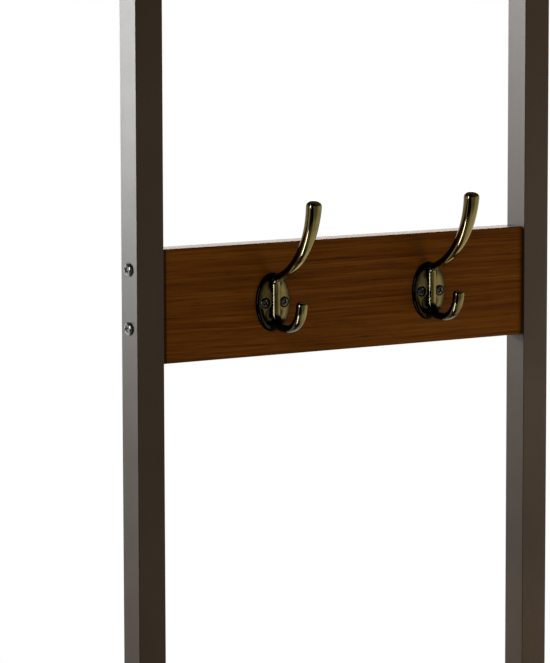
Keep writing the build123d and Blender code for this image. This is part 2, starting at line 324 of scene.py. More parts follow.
def antiqueBrass():
    look = brassLook
    material, bench, shader, place = newFinish("antiqueBrass", look["sockets"])
    colour = bench.ramp(bench.noise(place, look["patchPerMetre"], 4.0, 0.6), look["tones"])
    paintedShade = bench.add("ShaderNodeAttribute", attribute_name="paintedShade").outputs["Fac"]
    uneven = bench.span(bench.noise(place, look["unevenPerMetre"], 3.0), *middleOfNoise, *look["uneven"])
    blotched = bench.math("ADD", paintedShade, bench.math("MULTIPLY", uneven, paintedShade))
    black = bench.span(blotched, *look["shadeToBlack"], 0.0, 1.0)
    rough = bench.span(bench.noise(place, look["scuffPerMetre"], 3.0), *middleOfNoise, *look["rough"])
    dents = bench.bump(bench.noise(place, look["dentPerMetre"], 2.0), *look["dents"])
    # painted shade and painted reflection: the metal turns black where the mesh's shade value is high
    bench.join(bench.mixColour(black, colour, look["black"]), shader.inputs["Base Color"])
    bench.join(rough, shader.inputs["Roughness"])
    bench.join(dents, shader.inputs["Normal"])
    return material


# Plain materials: a tone, a roughness and a fine relief, each from its own noise.
plainLooks = {
    "brightZinc": {"tones": ((0.46, 0.45, 0.44), (0.68, 0.67, 0.65)), "rough": (0.12, 0.20)},
    "darkScrew": {"tones": ((0.09, 0.08, 0.06), (0.24, 0.22, 0.18)), "rough": (0.10, 0.18)},
    "turnedBrass": {"tones": ((0.45, 0.34, 0.15), (0.60, 0.46, 0.20)), "rough": (0.25, 0.35)},
    "blackMoulding": {"tones": ((0.010, 0.0095, 0.009), (0.017, 0.016, 0.015)), "rough": (0.5, 0.62)},
}
turnedMetal = {
    "sockets": {"Metallic": 1.0}, "tonePerMetre": 700.0, "roughPerMetre": 1500.0, "roughDetail": 2.0,
    "reliefPerMetre": 2600.0, "relief": (0.08, 0.00004),
}
mouldedPlastic = {
    "sockets": {"Specular IOR Level": 0.4}, "tonePerMetre": 60.0, "roughPerMetre": 60.0, "roughDetail": 3.0,
    "reliefPerMetre": 1800.0, "relief": (0.3, 0.00008),
}


def plainFinish(name, kind):
    look = {**kind, **plainLooks[name]}
    material, bench, shader, place = newFinish(name, look["sockets"])
    tone = bench.ramp(bench.noise(place, look["tonePerMetre"], 3.0), zip(middleOfNoise, look["tones"]))
    cloud = bench.noise(place, look["roughPerMetre"], look["roughDetail"])
    relief = bench.bump(bench.noise(place, look["reliefPerMetre"], 2.0), *look["relief"])
    bench.join(tone, shader.inputs["Base Color"])
    bench.join(bench.span(cloud, *middleOfNoise, *look["rough"]), shader.inputs["Roughness"])
    bench.join(relief, shader.inputs["Normal"])
    return material


coat = powderCoat()
walnut = walnutLaminate("walnutLaminate", False)
railWalnut = walnutLaminate("walnutRail", True)
brass = antiqueBrass()
zinc = plainFinish("brightZinc", turnedMetal)
darkScrew = plainFinish("darkScrew", turnedMetal)
insertMetal = plainFinish("turnedBrass", turnedMetal)
moulding = plainFinish("blackMoulding", mouldedPlastic)
print("finishes made")


# square tubes

tubeSizes = {"side": 25.0, "wall": 1.2, "corner": 0.6, "innerCorner": 0.2, "bend": 6}


# A rounded square carried straight along one axis: out along the outside and back along the bore.
def squareTube(axis, start, end, middle):
    half = tubeSizes["side"] / 2
    outA, outB = roundedRectangle(half, half, tubeSizes["corner"], tubeSizes["bend"])
    inHalf = half - tubeSizes["wall"]
    inA, inB = roundedRectangle(inHalf, inHalf, tubeSizes["innerCorner"], tubeSizes["bend"])
    first = np.stack([outA, outA, inA, inA]) + middle[0]
    second = np.stack([outB, outB, inB, inB]) + middle[1]
    along = np.array([start, end, end, start])[:, None]
    return closedGrid(onAxes(along, first, second, axis))


halfSpan = 180.0  # to the inner face of each side frame
frameX = halfSpan + tubeSizes["side"] / 2  # to its middle
outerX = halfSpan + tubeSizes["side"]  # to its outer face
halfDepth = 170.0
postY = halfDepth - tubeSizes["side"] / 2
legY = -postY
bearerEnd = halfDepth - tubeSizes["side"]
levels = {"footTop": 6.0, "shelf": 150.0, "legTop": 429.0, "postTop": 1817.0}
levels["seatFrame"] = levels["legTop"] - tubeSizes["side"] / 2
tubePlan = {
    "left_post": ("z", levels["footTop"], levels["postTop"], (-frameX, postY)),
    "right_post": ("z", levels["footTop"], levels["postTop"], (frameX, postY)),
    "left_front_leg": ("z", levels["footTop"], levels["legTop"], (-frameX, legY)),
    "right_front_leg": ("z", levels["footTop"], levels["legTop"], (frameX, legY)),
    "left_shelf_bearer": ("y", -bearerEnd, bearerEnd, (-frameX, levels["shelf"])),
    "right_shelf_bearer": ("y", -bearerEnd, bearerEnd, (frameX, levels["shelf"])),
    "front_seat_rail": ("x", -halfSpan, halfSpan, (legY, levels["seatFrame"])),
    "rear_seat_rail": ("x", -halfSpan, halfSpan, (postY, levels["seatFrame"])),
}
# collections that a lamp may be kept to
posts, leftPost, rightPost = (bpy.data.collections.new(name) for name in ("posts", "leftPost", "rightPost"))
for nodeName, (axis, start, end, middle) in tubePlan.items():
    tubePiece = meshObject(nodeName + "Tube", [squareTube(axis, start, end, middle)], coat)
    finished(tubePiece, "brown_powder_coat", nodeName)
    if nodeName.endswith("post"):
        posts.objects.link(tubePiece)
        (leftPost if middle[0] < 0 else rightPost).objects.link(tubePiece)

rodSizes = {"diameter": 8.0, "end": 203.6, "chamfer": 0.5, "count": 6, "sides": 40}


# A circle carried along x, a little smaller at both ends.
def shelfRod(y):
    radius = rodSizes["diameter"] / 2
    end, chamfer = rodSizes["end"], rodSizes["chamfer"]
    angle = np.linspace(0, 2 * np.pi, rodSizes["sides"], endpoint=False)[None, :]
    along = np.array([-end, -end + chamfer, end - chamfer, end])[:, None]
    reach = np.array([radius - chamfer, radius, radius, radius - chamfer])[:, None]
    z = levels["shelf"]
    points = onAxes(along, y + reach * np.cos(angle), z + reach * np.sin(angle), "x")
    return closedGrid(points, (-end, y, z), (end, y, z))


rodPitch = 2 * bearerEnd / rodSizes["count"]
for number in range(rodSizes["count"]):
    rodY = -bearerEnd + (number + 0.5) * rodPitch
    rodPiece = meshObject(f"shelfRod{number + 1}", [shelfRod(rodY)], coat)
    finished(rodPiece, "brown_powder_coat", f"shelf_rod_{number + 1}")
print("tubes and rods made")


# boards

railSizes = {
    "front": 149.0, "back": halfDepth, "height": 93.0, "ease": 0.8, "bend": 5,
    "bottoms": {"hook_rail": 1400.0, "top_rail": 1712.0},
}


# A rounded rectangle in y and z carried along x between the posts.
def railBoard(bottom):
    midY = (railSizes["front"] + railSizes["back"]) / 2
    midZ = bottom + railSizes["height"] / 2
    halfY = (railSizes["back"] - railSizes["front"]) / 2
    b, c = roundedRectangle(halfY, railSizes["height"] / 2, railSizes["ease"], railSizes["bend"])
    along = np.array([-halfSpan, halfSpan])[:, None]
    points = onAxes(along, midY + b[None, :], midZ + c[None, :], "x")
    return closedGrid(points, (-halfSpan, midY, midZ), (halfSpan, midY, midZ))


boards = bpy.data.collections.new("boards")
for nodeName, bottom in railSizes["bottoms"].items():
    railPiece = meshObject(nodeName + "Board", [railBoard(bottom)], railWalnut)
    finished(railPiece, "walnut_board", nodeName)
    boards.objects.link(railPiece)

seatSizes = {
    "halfX": outerX, "halfY": halfDepth, "bottom": levels["legTop"], "thick": 21.0, "notch": 25.5,
    "corner": 3.0, "cornerBend": 8, "ease": 0.8, "easeBend": 5,
}


# The seat's outline, anticlockwise from the front left: quarter circles for the two front corners, and a
# square notch at each post.
def seatOutline():
    x, y, notch, radius = (seatSizes[key] for key in ("halfX", "halfY", "notch", "corner"))
    angle = np.linspace(0, np.pi / 2, seatSizes["cornerBend"] + 1)
    falling, rising = radius * np.cos(angle), radius * np.sin(angle)
    frontLeft = np.stack([-x + radius - falling, -y + radius - rising], axis=-1)
    frontRight = np.stack([x - radius + rising, -y + radius - falling], axis=-1)
    rear = np.array([(x, y - notch), (x - notch, y - notch), (x - notch, y),
                     (notch - x, y), (notch - x, y - notch), (-x, y - notch)])
    return np.concatenate([frontLeft, frontRight, rear])


# Each outline point moves inwards along the mitre of its two edges.
def insetOutline(outline, amount):
    edge = np.roll(outline, -1, axis=0) - outline
    edge = edge / np.linalg.norm(edge, axis=1, keepdims=True)
    inward = np.stack([-edge[:, 1], edge[:, 0]], axis=-1)
    before = np.roll(inward, 1, axis=0)
    mitre = (inward + before) / (1 + np.sum(inward * before, axis=1, keepdims=True))
    return outline + amount * mitre


# The outline is stacked from the underside to the top, drawn in along a quarter circle at the upper edge.
def seatBoard():
    outline = seatOutline()
    ease, bottom = seatSizes["ease"], seatSizes["bottom"]
    top = bottom + seatSizes["thick"]
    turn = np.linspace(0, np.pi / 2, seatSizes["easeBend"] + 1)
    steps = [(0.0, bottom)]
    steps += [(ease * (1 - math.cos(a)), top - ease + ease * math.sin(a)) for a in turn]
    rows = []
    for inset, z in steps:
        ring = insetOutline(outline, inset)
        rows.append(np.column_stack([ring, np.full(len(ring), z)]))
    return closedGrid(np.stack(rows), (0, 0, bottom), (0, 0, top))


seatPiece = meshObject("seatBoard", [seatBoard()], walnut)
finished(seatPiece, "walnut_board", "seat_board")
boards.objects.link(seatPiece)
print("boards made")


# feet and caps

plugSizes = {
    "side": tubeSizes["side"], "corner": tubeSizes["corner"], "round": 0.5, "roundBend": 6,
    "plugSide": 22.4, "plugCorner": 0.3, "bend": 6,
    "foot": (levels["footTop"], 20.0), "cap": (3.0, 15.0),  # flange and plug, each along z
}


# Rounded squares stacked along z: a flange with a rounded outer edge, then a narrower plug towards the tube.
def flangedPlug(x, y, tubeEnd, flange, plug, direction):
    half, corner, rim = plugSizes["side"] / 2, plugSizes["corner"], plugSizes["round"]
    inHalf, inCorner = plugSizes["plugSide"] / 2, plugSizes["plugCorner"]
    turn = np.linspace(0, np.pi / 2, plugSizes["roundBend"] + 1)
    steps = [(half - rim + rim * math.sin(a), corner, -flange + rim - rim * math.cos(a)) for a in turn]
    steps += [(half, corner, 0.0), (inHalf, inCorner, 0.0), (inHalf, inCorner, plug)]
    rows = []
    for side, radius, height in steps:
        a, b = roundedRectangle(side, side, radius, plugSizes["bend"])
        rows.append(np.column_stack([x + a, y + b, np.full(len(a), tubeEnd + direction * height)]))
    outer = (x, y, tubeEnd - direction * flange)
    return closedGrid(np.stack(rows), outer, (x, y, tubeEnd + direction * plug))


plugPlan = {
    "rear_foot": (postY, levels["footTop"], *plugSizes["foot"], 1),
    "front_foot": (legY, levels["footTop"], *plugSizes["foot"], 1),
    "post_cap": (postY, levels["postTop"], *plugSizes["cap"], -1),
}
for sideName, x in {"left": -frameX, "right": frameX}.items():
    for plugName, plan in plugPlan.items():
        nodeName = f"{sideName}_{plugName}"
        plugPiece = meshObject(nodeName + "Plug", [flangedPlug(x, *plan)], moulding)
        finished(plugPiece, "black_plastic", nodeName)
print("feet and caps made")


# screws

machineScrew = {"head": 5.4, "rim": 0.8, "crown": 2.35, "shank": 3.0, "reach": 41.0,
                "slotReach": 3.1, "slotHalf": 0.85, "slotDepth": 2.2, "lip": 0.35, "cap": 2.1}
hookScrew = {"head": 3.75, "rim": 0.0, "crown": 1.1, "shank": 1.75, "reach": 17.6, "cone": 2.2,
             "slotReach": 2.4, "slotHalf": 0.62, "slotDepth": 1.7, "lip": 0.3, "cap": 2.2}
screwGrid = {"rings": 46, "spokes": 120, "firstRing": 0.03, "tipLength": 1.0, "tipShare": 0.7}
screwTurns = {"left": 0.35, "right": 0.9, "boltStep": 0.7, "front": 0.5, "hookStep": 0.6}  # radians
screwSharp = 55.0  # degrees


# 0 below 0, 1 above 1, and three x squared less two x cubed between.
def eased(x):
    x = np.clip(x, 0, 1)
    return x * x * (3 - 2 * x)


# Radii and heights down one side of a screw, swept round its axis. The head is a low cap, a superellipse that
# is steep at its edge, and the cross slot sinks it where a point lies within the slot's half width of either
# arm. The slot is turned about the axis.
def screwSurface(size, turn):
    headR, crown, rim = size["head"], size["crown"], size["rim"]
    radius = np.sin(np.linspace(screwGrid["firstRing"], np.pi / 2, screwGrid["rings"])) * headR
    height = rim + crown * (1 - (radius / headR) ** size["cap"]) ** (1 / size["cap"])
    shankR, reach = size["shank"], size["reach"]
    seat = -size.get("cone", 0.0)
    radius = np.concatenate([radius, [headR, shankR, shankR, shankR * screwGrid["tipShare"]]])[:, None]
    height = np.concatenate([height, [0.0, seat, -reach + screwGrid["tipLength"], -reach]])[:, None]
    angle = np.linspace(0, 2 * np.pi, screwGrid["spokes"], endpoint=False)[None, :]
    x, y = radius * np.cos(angle - turn), radius * np.sin(angle - turn)
    lip = size["lip"]

    def arm(across, along):
        within = eased((size["slotHalf"] - np.abs(across)) / lip + 0.5)
        return within * eased((size["slotReach"] - np.abs(along)) / (2 * lip))

    onTop = np.arange(len(radius))[:, None] < screwGrid["rings"]
    slot = np.maximum(arm(x, y), arm(y, x)) * np.where(onTop, size["slotDepth"], 0.0)
    points = np.stack([radius * np.cos(angle), radius * np.sin(angle), height - slot], axis=-1)
    centre = rim + crown - size["slotDepth"]
    return points, np.array([0, 0, centre]), np.array([0, 0, -reach])


# A screw drawn along z is turned to face left, right or forwards and moved to its place.
def placedScrew(size, turn, facing, place):
    axes = {
        "left": ((0, 0, 1), (0, 1, 0), (-1, 0, 0)),
        "right": ((0, 0, -1), (0, 1, 0), (1, 0, 0)),
        "front": ((1, 0, 0), (0, 0, 1), (0, -1, 0)),
    }[facing]
    basis = np.array(axes, float)
    points, head, tip = screwSurface(size, turn)
    place = np.array(place, float)
    return closedGrid(points @ basis + place, head @ basis + place, tip @ basis + place)


railBoltRises = (30.0, 77.5)  # above the rail's lower edge
boltPlan = {rail + "_bolts": [(postY, bottom + rise) for rise in railBoltRises]
            for rail, bottom in railSizes["bottoms"].items()}
boltPlan["front_seat_rail_bolts"] = [(legY, levels["seatFrame"])]
boltPlan["rear_seat_rail_bolts"] = [(postY, levels["seatFrame"])]
bolts = bpy.data.collections.new("bolts")
for nodeName, spots in boltPlan.items():
    surfaces = []
    for count, (y, z) in enumerate(spots):
        for facing, x in {"left": -outerX, "right": outerX}.items():
            turn = screwTurns[facing] + screwTurns["boltStep"] * count
            surfaces.append(placedScrew(machineScrew, turn, facing, (x, y, z)))
    boltPiece = meshObject(nodeName + "Set", surfaces, zinc, screwSharp)
    finished(boltPiece, "zinc_fastener", nodeName)
    bolts.objects.link(boltPiece)
print("machine screws made")


# hooks

hookSizes = {
    "places": {"left": -74.0, "right": 82.0},
    "railFace": railSizes["front"],
    "height": 1444.0,
    "ribOut": 5.5,
    "ribBelow": 7.8,
    "startHeading": -91.5,
    "legs": [
        (3.2, 0.0), (21.5, -88.5), (5.4, 0.0), (12.0, -90.0),  # the lower prong, from its tip
        (23.3, 0.0),  # the rib on the plate
        (6.0, -74.5), (72.3, 68.2), (4.8, 0.0),  # the upper prong
    ],
    "ribLeg": 4,
    "squareness": 2.35,
    # diameters at distances from the lower tip
    "widthAt": [
        (0, 9.4), (12, 9.2), (28, 8.4), (44, 7.7), (60, 7.5), (84, 7.5),
        (94, 7.8), (105, 8.3), (130, 9.4), (150, 10.7), (170, 12.0), (183, 13.1),
    ],
    "thickAt": [
        (0, 9.4), (12, 8.6), (28, 7.0), (44, 6.6), (60, 7.2), (84, 7.2),
        (94, 6.8), (105, 7.2), (130, 9.0), (150, 10.5), (170, 11.8), (183, 12.3),
    ],
    "domes": (3.6, 5.0),
    "domePower": 2.3,
    "sharp": 60.0,
}
hookGrid = {
    "step": 0.1, "rings": 330, "domeRings": 16, "firstRing": 0.06, "sides": 56, "knots": 800, "blur": 61,
}
plateSizes = {
    "halfX": 16.3, "halfZ": 24.3, "thick": 3.6, "crown": 1.0, "round": 3.0,
    "ribHalf": 3.2, "ribTop": 16.0, "ribFoot": -9.0, "rootFrom": 4.5, "rootOver": 8.0,
    "flareHigh": (0.9, 3.0), "flareWide": (1.5, 6.0),
    "screwAt": 9.2, "sinkRadius": 4.6, "sinkDepth": 1.6,
}
plateGrid = {"rings": 100, "firstRing": 0.01, "roundRings": 14, "spokes": 300}


# The arm's heading is summed along its legs, each a line (length, 0) or an arc (radius, degrees), and the
# middle line is the running sum of its direction. Returned for each station: distance, out, up and heading.
def armLine():
    legs = hookSizes["legs"]
    lengths = [size * math.radians(abs(turn)) if turn else size for size, turn in legs]
    turns = np.radians([turn for _, turn in legs])
    ends = np.concatenate([[0], np.cumsum(lengths)])
    headings = math.radians(hookSizes["startHeading"]) + np.concatenate([[0], np.cumsum(turns)])
    s = np.linspace(0, ends[-1], int(ends[-1] / hookGrid["step"]) + 1)
    heading = np.interp(s, ends, headings)
    middle = (heading[1:] + heading[:-1]) / 2
    gap = np.diff(s)
    out = np.concatenate([[0], np.cumsum(gap * np.cos(middle))])
    up = np.concatenate([[0], np.cumsum(gap * np.sin(middle))])
    ribStart = np.searchsorted(s, ends[hookSizes["ribLeg"]])
    out += hookSizes["ribOut"] - out[ribStart]
    up += -hookSizes["ribBelow"] - up[ribStart]
    return s, out, up, heading


# An oval, drawn a little towards a square, carried along the middle line. Its two diameters follow the
# tables, smoothed by a running average, and a superellipse closes each tip.
def hookArm(hookX):
    s, out, up, heading = armLine()
    total = s[-1]
    lowDome, highDome = hookSizes["domes"]
    arc = np.linspace(hookGrid["firstRing"], np.pi / 2, hookGrid["domeRings"])
    low = lowDome * (1 - np.cos(arc))
    high = total - highDome * (1 - np.cos(arc[::-1]))
    between = np.linspace(lowDome, total - highDome, hookGrid["rings"])[1:-1]
    station = np.concatenate([low, between, high])
    power = hookSizes["domePower"]

    def closing(distance, dome):
        return (1 - (1 - np.clip(distance / dome, 0, 1)) ** power) ** (1 / power)

    close = closing(station, lowDome) * closing(total - station, highDome)
    knots = np.linspace(0, total, hookGrid["knots"])
    blur = np.hanning(hookGrid["blur"])
    blur = blur / blur.sum()

    def diameter(table):
        rough = np.interp(knots, *np.array(table).T)
        padded = np.pad(rough, len(blur) // 2, mode="edge")
        return np.interp(station, knots, np.convolve(padded, blur, mode="valid"))

    halfWide = diameter(hookSizes["widthAt"]) / 2 * close
    halfThick = diameter(hookSizes["thickAt"]) / 2 * close
    o, u, h = (np.interp(station, s, line)[:, None] for line in (out, up, heading))
    angle = np.linspace(0, 2 * np.pi, hookGrid["sides"], endpoint=False)[None, :]
    across = halfWide[:, None] * squared(np.cos(angle))
    away = halfThick[:, None] * squared(np.sin(angle))
    points = hookPoints(hookX, across, o - away * np.sin(h), u + away * np.cos(h))
    tips = hookPoints(hookX, np.zeros(2), out[[0, -1]], up[[0, -1]])
    return closedGrid(points, tips[0], tips[1])


# A sine or cosine to the power of two over the section's squareness, its sign kept: at two it is an oval.
def squared(wave):
    return np.sign(wave) * np.abs(wave) ** (2 / hookSizes["squareness"])


# Sideways, out from the rail and up from the plate's middle, as places in the frame.
def hookPoints(hookX, across, out, up):
    return np.stack([hookX + across, hookSizes["railFace"] - out, hookSizes["height"] + up], axis=-1)


# How far a point of the plate lies from the rib's side, and how near it is to an end of the rib (0 to 1).
def besideRib(x, z):
    size = plateSizes
    beyond = np.maximum(np.maximum(z - size["ribTop"], size["ribFoot"] - z), 0)
    middle = (size["ribTop"] + size["ribFoot"]) / 2
    atRoot = eased((np.abs(z - middle) - size["rootFrom"]) / size["rootOver"])
    return np.hypot(x, beyond) - size["ribHalf"], atRoot


# An oval plate on a polar grid. Its height is a short straight rim, a quarter circle and a slightly crowned
# face, raised by a parabola beside the rib that widens towards both roots, and sunk by a cone at each screw.
def hookPlate(hookX):
    size = plateSizes
    turn = np.linspace(0, np.pi / 2, plateGrid["roundRings"] + 1)
    inner = 1 - size["round"] / size["halfX"]
    face = np.linspace(plateGrid["firstRing"], inner, plateGrid["rings"])
    shoulder = inner + (1 - inner) * np.sin(turn[1:])
    rho = np.concatenate([face, shoulder, [1]])[:, None]
    angle = np.linspace(0, 2 * np.pi, plateGrid["spokes"], endpoint=False)[None, :]
    x = size["halfX"] * rho * np.cos(angle)
    z = size["halfZ"] * rho * np.sin(angle)
    over = np.clip((rho - inner) / (1 - inner), 0, 1)
    height = size["thick"] + size["crown"] * (inner**2 - np.minimum(rho, inner) ** 2)
    height = height - size["round"] * (1 - np.sqrt(1 - over**2))
    fromRib, atRoot = besideRib(x, z)
    high, wide = (low + (top - low) * atRoot for low, top in (size["flareHigh"], size["flareWide"]))
    height = height + high * np.clip(1 - fromRib / wide, 0, 1) ** 2 * (1 - over)
    fromScrew = np.minimum(np.hypot(x - size["screwAt"], z), np.hypot(x + size["screwAt"], z))
    height = height - np.clip(size["sinkRadius"] - fromScrew, 0, size["sinkDepth"])
    height[-1] = 0.0
    points = hookPoints(hookX, x, height, z)
    front = hookPoints(hookX, 0.0, size["thick"] + size["crown"] + size["flareHigh"][0], 0.0)
    return closedGrid(points, front, hookPoints(hookX, 0.0, 0.0, 0.0))


# where each kind of painted shade starts and over how much it grows: for facing and turned as a part of the
# normal, for the rim as a share of the plate's radius, and otherwise in millimetres
shadeSpans = {
    "armFacing": (0.12, 0.2), "armTurned": (0.45, 0.3), "armOut": (40, 14), "heelDown": (8, 6),
    "heelOut": (18, 10), "prongDown": (5, 15), "plateFacing": (0.70, 0.22), "plateRim": (0.62, 0.33),
    "rootDown": (11, 5), "rootAcross": (-6, 3),
}
shadeShares = {"armOut": 0.5, "prong": 0.66, "plateRim": 0.75}
rootReach = 8.0  # of the painted shade beside the rib


def grown(kind, value):
    start, width = shadeSpans[kind]
    return eased((value - start) / width)


# The painted shade of each point, 0 to 1, is the greatest of eased steps in its place and normal. The arm is
# darkened on its left and upper sides near the rail, at the lower prong's heel and, less, all along that
# prong:
# a painted reflection of the dark room and board, and painted shade under the arm. The plate is darkened
# where it turns away from the front and towards its rim, a painted reflection, and at the roots of the
# prongs, painted shade of the arms.
def paintHookShade(mesh, hookX, armCount):
    places = np.empty(len(mesh.vertices) * 3)
    normals = np.empty(len(mesh.vertices) * 3)
    mesh.vertices.foreach_get("co", places)
    mesh.vertex_normals.foreach_get("vector", normals)
    places = places.reshape(-1, 3) / mm
    normals = normals.reshape(-1, 3)
    x = places[:, 0] - hookX
    out = hookSizes["railFace"] - places[:, 1]
    up = places[:, 2] - hookSizes["height"]
    facing = -normals[:, 1]
    # painted reflection: the left and upper sides of the arm are darkened as if they mirrored a dark room
    leftOrTop = np.maximum(-normals[:, 0], normals[:, 2])
    onLower = -up > shadeSpans["heelDown"][0]
    reach = np.where(onLower, 1.0, 1 - shadeShares["armOut"] * grown("armOut", out))
    sides = (1 - grown("armFacing", facing)) * grown("armTurned", leftOrTop) * reach
    heel = grown("heelDown", -up) * (1 - grown("heelOut", out))
    prong = shadeShares["prong"] * grown("prongDown", -up)
    onArm = np.maximum(np.maximum(sides, heel), prong)
    fromRib, atRoot = besideRib(x, up)
    outward = np.hypot(x / plateSizes["halfX"], up / plateSizes["halfZ"])
    # painted reflection on the plate's rim and turned-away faces, and painted shade of the arms at the roots
    rim = np.maximum(shadeShares["plateRim"] * grown("plateRim", outward), 1 - grown("plateFacing", facing))
    lowRoot = grown("rootDown", -up) * grown("rootAcross", x)
    roots = np.maximum(atRoot * eased(1 - fromRib / rootReach), lowRoot)
    paintedShade = np.where(np.arange(len(out)) < armCount, onArm, np.maximum(rim, roots))
    mesh.attributes.new("paintedShade", "FLOAT", "POINT").data.foreach_set("value", paintedShade.astype(np.float32))


hooks = bpy.data.collections.new("hooks")
plateFace = hookSizes["railFace"] - plateSizes["thick"]
for sideName, hookX in hookSizes["places"].items():
    armSurface = hookArm(hookX)
    hookPiece = meshObject(sideName + "Hook", [armSurface, hookPlate(hookX)], brass, hookSizes["sharp"])
    paintHookShade(hookPiece.data, hookX, len(armSurface[0]))
    finished(hookPiece, "antique_brass", sideName + "_hook")
    screws = []
    for count, shift in enumerate((-plateSizes["screwAt"], plateSizes["screwAt"])):
        place = (hookX + shift, plateFace, hookSizes["height"])
        turn = screwTurns["front"] + screwTurns["hookStep"] * count
        screws.append(placedScrew(hookScrew, turn, "front", place))
    screwPiece = meshObject(sideName + "HookScrews", screws, darkScrew, screwSharp)
    finished(screwPiece, "dark_screw", sideName + "_hook_screws")
    hooks.objects.link(hookPiece)
    hooks.objects.link(screwPiece)
print("hooks made")


# carried-over nodes

carriedOver = {
    "left_seat_bearer": coat, "right_seat_bearer": coat,
    "hook_rail_inserts": insertMetal, "top_rail_inserts": insertMetal,
    "front_seat_rail_plugs": moulding, "rear_seat_rail_plugs": moulding,
    "seat_screws": zinc,
}
for nodeName, material in carriedOver.items():
    for materialSlot in nodes[nodeName].material_slots:
        materialSlot.material = material
print("carried-over nodes finished")


# floor, light and camera

floorSizes = {
    "radius": 4.0, "fade": (1.6, 3.92),  # metres
    "top": -0.05, "under": -0.06, "bottom": -1.0,  # millimetres
    "rings": 24, "firstRing": 0.05, "spokes": 96,
}
floorLook = {
    "sockets": {
        "Base Color": (0.86, 0.86, 0.855), "Roughness": 0.75, "Specular IOR Level": 0.2,
        "Emission Color": (1.0, 1.0, 1.0),
    },
    "lift": 0.2,  # glow that only the camera sees
}


# A flat disc on a polar grid, with a thin underside so that it is closed. From below it is clear.
def floorDisc():
    size = floorSizes
    rho = np.linspace(size["firstRing"], 1, size["rings"])[:, None] * size["radius"] / mm
    angle = np.linspace(0, 2 * np.pi, size["spokes"], endpoint=False)[None, :]
    points = np.stack(np.broadcast_arrays(rho * np.cos(angle), rho * np.sin(angle), size["top"]), axis=-1)
    return closedGrid(points, (0, 0, size["top"]), (0, 0, size["bottom"]))


def floorFinish():
    material, bench, shader, place = newFinish("paleFloor", floorLook["sockets"])
    seen = bench.add("ShaderNodeLightPath").outputs["Is Camera Ray"]
    bench.join(bench.math("MULTIPLY", seen, floorLook["lift"]), shader.inputs["Emission Strength"])
    far = bench.span(bench.vector("LENGTH", place), *floorSizes["fade"], 0.0, 1.0, True)
    under = bench.math("LESS_THAN", bench.part(place, "Z"), floorSizes["under"] * mm)
    reverse = bench.add("ShaderNodeNewGeometry").outputs["Backfacing"]
    gone = bench.math("MAXIMUM", far, bench.math("MAXIMUM", under, reverse))
    clear = bench.add("ShaderNodeBsdfTransparent")
    mix = bench.add("ShaderNodeMixShader")
    bench.join(gone, mix.inputs[0])
    bench.join(shader.outputs[0], mix.inputs[1])
    bench.join(clear.outputs[0], mix.inputs[2])
    output = [node for node in material.node_tree.nodes if node.type == "OUTPUT_MATERIAL"][0]
    bench.join(mix.outputs[0], output.inputs["Surface"])
    return material


floor = meshObject("floor", [floorDisc()], floorFinish())
floor.visible_glossy = False  # the metal sees the room instead

# Diffuse light comes evenly from all around. Metal sees a room: white behind the object, grey at the sides
# and dim towards the camera, a black screen left of the camera that widens towards floor and ceiling, a dark
# ceiling, a floor that is paler in front, and dark ground straight below.
roomLook = {
    "even": 0.30,
    "cameraWay": (-0.541, -0.841, 0.0), "screenWay": (-0.801, -0.598, 0.0), "leftWay": (-0.605, 0.796, 0.0),
    "back": 1.7, "side": 0.48, "near": 0.15, "nearFloor": 0.36, "left": 0.92,
    "screen": 0.0, "screenFloor": 0.30, "widening": 0.5, "ceiling": 0.10, "ground": 0.10,
}
# where each change starts and ends, as the cosine of the angle to its way, or as the rise
roomSpans = {
    "back": (-0.9, -0.1), "front": (0.27, 0.50), "left": (0.2, 0.6), "screen": (0.903, 0.930),
    "nearFloor": (-0.72, -0.45), "screenFloor": (-0.75, -0.5),
    "ceiling": (0.08, 0.40), "ground": (-0.97, -0.86),
}


def studioWorld():
    world = bpy.data.worlds.new("studio")
    bpy.context.scene.world = world
    world.use_nodes = True
    bench = NodeBench(world.node_tree)
    look = roomLook
    way = bench.add("ShaderNodeTexCoord").outputs["Generated"]
    level = bench.vector("NORMALIZE", bench.vector("MULTIPLY", way, (1, 1, 0)))
    rise = bench.part(way, "Z")
    nearCamera, nearScreen, nearLeft = (
        bench.vector("DOT_PRODUCT", level, look[key]) for key in ("cameraWay", "screenWay", "leftWay")
    )

    def change(name, value, before, after):
        return bench.span(value, *roomSpans[name], before, after, True)

    behind = change("back", nearCamera, look["back"], 1.0)
    front = change("front", nearCamera, look["side"], look["near"])
    paler = change("nearFloor", rise, look["nearFloor"] - look["near"], 0.0)
    paler = bench.math("MULTIPLY", paler, change("front", nearCamera, 0.0, 1.0))
    wider = bench.math("MULTIPLY", bench.math("MULTIPLY", rise, rise), look["widening"])
    screen = change("screen", bench.math("ADD", nearScreen, wider), 1.0, look["screen"])
    screen = bench.math("MAXIMUM", screen, change("screenFloor", rise, look["screenFloor"], 0.0))
    leftSide = change("left", nearLeft, 1.0, look["left"])
    ceiling = change("ceiling", rise, 1.0, look["ceiling"])
    ground = change("ground", rise, look["ground"], 1.0)
    room = bench.math("MULTIPLY", behind, bench.math("ADD", front, paler))
    for share in (leftSide, screen, ceiling, ground):
        room = bench.math("MULTIPLY", room, share)
    path = bench.add("ShaderNodeLightPath").outputs
    mirrored = bench.math("MAXIMUM", path["Is Glossy Ray"], path["Is Transmission Ray"])
    strength = bench.mixNumber(mirrored, look["even"], room)
    strength = bench.mixNumber(path["Is Camera Ray"], strength, 1.0)
    background = bench.add("ShaderNodeBackground")
    bench.feed(background.inputs["Color"], (1, 1, 1))
    bench.join(strength, background.inputs["Strength"])
    bench.join(background.outputs[0], bench.add("ShaderNodeOutputWorld").inputs["Surface"])


studioWorld()

